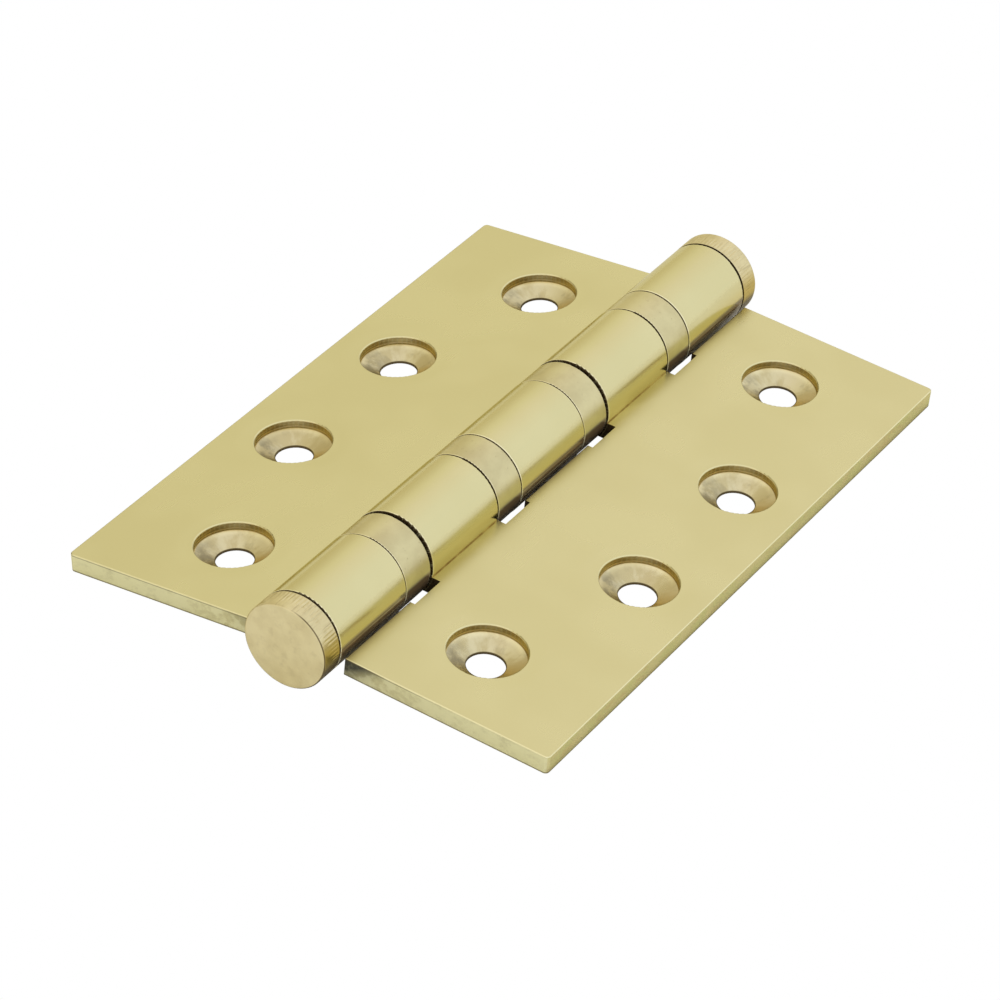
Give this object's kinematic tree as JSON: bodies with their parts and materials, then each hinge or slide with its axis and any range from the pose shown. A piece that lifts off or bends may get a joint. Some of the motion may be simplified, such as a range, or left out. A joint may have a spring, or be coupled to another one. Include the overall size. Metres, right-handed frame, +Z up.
{
  "type": "ball-bearing butt hinge",
  "caption": "Polished solid brass butt hinge with square leaves, stepped countersunk screw holes, thrust bearings between its knuckles and flat milled-edge end caps.",
  "frame": {"origin": "middle of the pin, on its axis, which is the middle of the whole hinge lying open", "axes": "+Y along the pin to the back end cap, +X towards the door leaf, +Z up, out of the countersunk faces"},
  "size_m": [0.0756, 0.1098, 0.0126],
  "materials": {
    "leaf_brass": "pale brass, softly brushed and hand polished",
    "cap_brass": "pale brass, satin face and finely milled edge",
    "bearing_brass": "pale brass, turned, satin",
    "cage_brass": "stamped, dull",
    "bearing_steel": "hardened and ground bright",
    "pin_steel": "ground"
  },
  "bodies": {
    "frame_leaf": {"frame_leaf": "leaf_brass", "hinge_pin": "pin_steel", "front_end_cap": "cap_brass", "back_end_cap": "cap_brass", "bearing_1_shell": "bearing_brass", "bearing_1_fixed_race": "bearing_steel", "bearing_2_shell": "bearing_brass", "bearing_2_fixed_race": "bearing_steel", "bearing_3_shell": "bearing_brass", "bearing_3_fixed_race": "bearing_steel", "bearing_4_shell": "bearing_brass", "bearing_4_fixed_race": "bearing_steel"},
    "door_leaf": {"door_leaf": "leaf_brass", "bearing_1_turning_race": "bearing_steel", "bearing_2_turning_race": "bearing_steel", "bearing_3_turning_race": "bearing_steel", "bearing_4_turning_race": "bearing_steel"},
    "bearing_1_ball_set": {"bearing_1_balls": "bearing_steel", "bearing_1_cage": "cage_brass"},
    "bearing_2_ball_set": {"bearing_2_balls": "bearing_steel", "bearing_2_cage": "cage_brass"},
    "bearing_3_ball_set": {"bearing_3_balls": "bearing_steel", "bearing_3_cage": "cage_brass"},
    "bearing_4_ball_set": {"bearing_4_balls": "bearing_steel", "bearing_4_cage": "cage_brass"}
  },
  "joints": [
    {"name": "leaf_swing", "type": "hinge", "parent": "frame_leaf", "child": "door_leaf", "pos_m": [0, 0, 0], "axis": [0, -1, 0], "range_deg": [-100, 187.9]},
    {"name": "ball_orbit_1", "type": "hinge", "parent": "frame_leaf", "child": "bearing_1_ball_set", "pos_m": [0, -0.03303, 0], "axis": [0, -1, 0], "range_deg": [-51, 95]},
    {"name": "ball_orbit_2", "type": "hinge", "parent": "frame_leaf", "child": "bearing_2_ball_set", "pos_m": [0, -0.01106, 0], "axis": [0, -1, 0], "range_deg": [-51, 95]},
    {"name": "ball_orbit_3", "type": "hinge", "parent": "frame_leaf", "child": "bearing_3_ball_set", "pos_m": [0, 0.01106, 0], "axis": [0, -1, 0], "range_deg": [-51, 95]},
    {"name": "ball_orbit_4", "type": "hinge", "parent": "frame_leaf", "child": "bearing_4_ball_set", "pos_m": [0, 0.03303, 0], "axis": [0, -1, 0], "range_deg": [-51, 95]}
  ],
  "couplings": [
    {"joint": "ball_orbit_1", "follows": "leaf_swing", "ratio": 0.5},
    {"joint": "ball_orbit_2", "follows": "leaf_swing", "ratio": 0.5},
    {"joint": "ball_orbit_3", "follows": "leaf_swing", "ratio": 0.5},
    {"joint": "ball_orbit_4", "follows": "leaf_swing", "ratio": 0.5}
  ]
}
